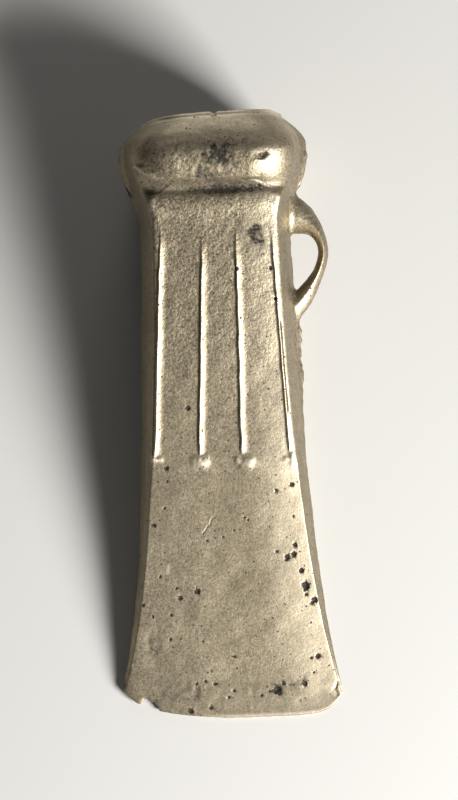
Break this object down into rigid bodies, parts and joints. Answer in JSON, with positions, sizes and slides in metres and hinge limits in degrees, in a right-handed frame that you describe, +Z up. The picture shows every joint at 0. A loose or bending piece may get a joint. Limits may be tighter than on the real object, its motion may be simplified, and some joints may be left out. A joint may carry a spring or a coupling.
{
  "type": "socketed axe head",
  "caption": "Cast bronze axe head with a bulbous socket mouth, a side loop, raised ribs ending in pellets and a flared blade.",
  "frame": {"origin": "on the surface the head lies on, under the middle of its bounding box", "axes": "+X across the blade towards the side loop, +Y from the cutting edge towards the socket mouth, +Z up from the back face it lies on"},
  "size_m": [0.0476, 0.1302, 0.0368],
  "materials": {
    "bronze": "old cast bronze, worn satin with dark pitted patina"
  },
  "bodies": {
    "root": {"axe_head": "bronze"}
  },
  "joints": []
}
